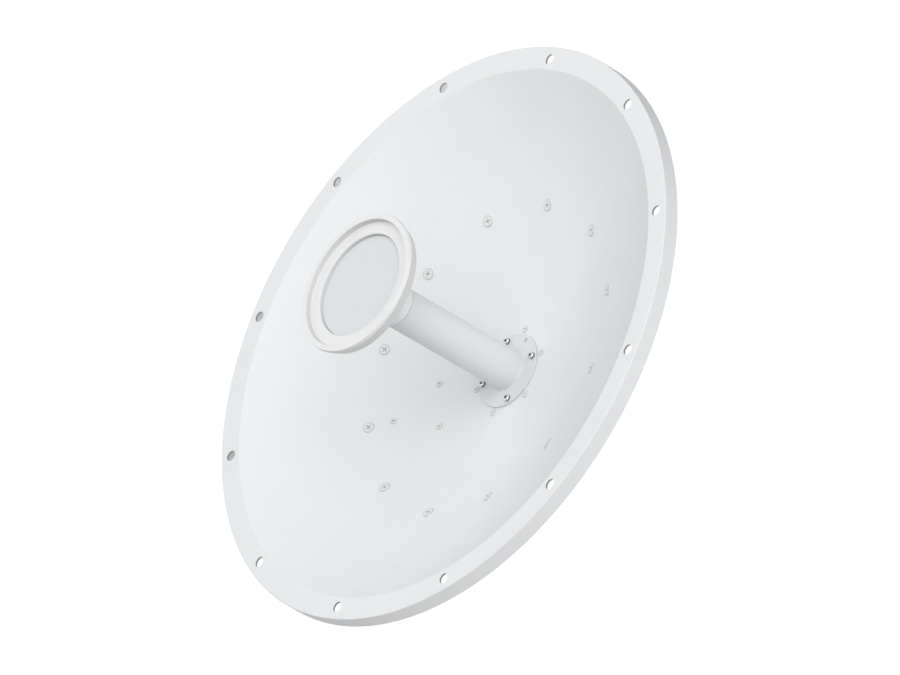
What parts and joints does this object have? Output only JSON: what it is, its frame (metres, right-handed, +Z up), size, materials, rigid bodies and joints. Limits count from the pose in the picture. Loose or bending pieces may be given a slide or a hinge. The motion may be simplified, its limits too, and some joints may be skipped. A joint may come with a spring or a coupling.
{
  "type": "parabolic dish antenna",
  "caption": "Small parabolic dish antenna: round white reflector with a drilled flat rim, feed on a tube on its axis, and a channel bracket behind for a mast clamp.",
  "frame": {"origin": "middle of the mount bracket's flat rear face, where the mast clamp is bolted on", "axes": "+Y straight back out of that face, so the dish looks along -Y; +Z up; +X to the right seen from in front"},
  "size_m": [0.648, 0.2785, 0.648],
  "materials": {
    "dish_white": "powder coated, satin off-white",
    "feed_white": "powder coated, satin light grey",
    "head_white": "moulded, semi-gloss off-white",
    "cover_grey": "plain, light grey",
    "screw_white": "painted over, pale grey",
    "bolt_steel": "polished stainless steel",
    "galvanised": "zinc coated, dull",
    "cast_aluminium": "as cast, matt",
    "nickel": "nickel plated",
    "grey_plastic": "moulded, mid grey"
  },
  "bodies": {
    "root": {"reflector": "dish_white", "backing_ring": "galvanised", "mount_bracket": "galvanised", "bracket_foot_upper": "galvanised", "bracket_foot_lower": "galvanised", "feed_tube": "feed_white", "feed_flange": "feed_white", "feed_nose": "head_white", "feed_head": "head_white", "head_cover": "cover_grey", "feed_hub": "cast_aluminium", "cable_socket_left": "nickel", "cable_socket_right": "nickel", "radio_pad": "grey_plastic", "radio_rail": "galvanised", "ring_screw_01": "screw_white", "ring_screw_02": "screw_white", "ring_screw_03": "screw_white", "ring_screw_04": "screw_white", "ring_screw_05": "screw_white", "ring_screw_06": "screw_white", "ring_screw_07": "screw_white", "ring_screw_08": "screw_white", "ring_screw_09": "screw_white", "ring_screw_10": "screw_white", "ring_screw_11": "screw_white", "ring_screw_12": "screw_white", "hub_screw_1": "screw_white", "hub_screw_2": "screw_white", "hub_screw_3": "screw_white", "hub_screw_4": "screw_white", "hub_screw_5": "screw_white", "hub_screw_6": "screw_white", "pad_screw_top": "screw_white", "pad_screw_bottom": "screw_white", "pad_screw_outer": "screw_white", "flange_bolt_1": "bolt_steel", "flange_bolt_2": "bolt_steel", "flange_bolt_3": "bolt_steel", "flange_bolt_4": "bolt_steel", "rail_screw_top": "bolt_steel", "rail_screw_bottom": "bolt_steel"}
  },
  "joints": []
}
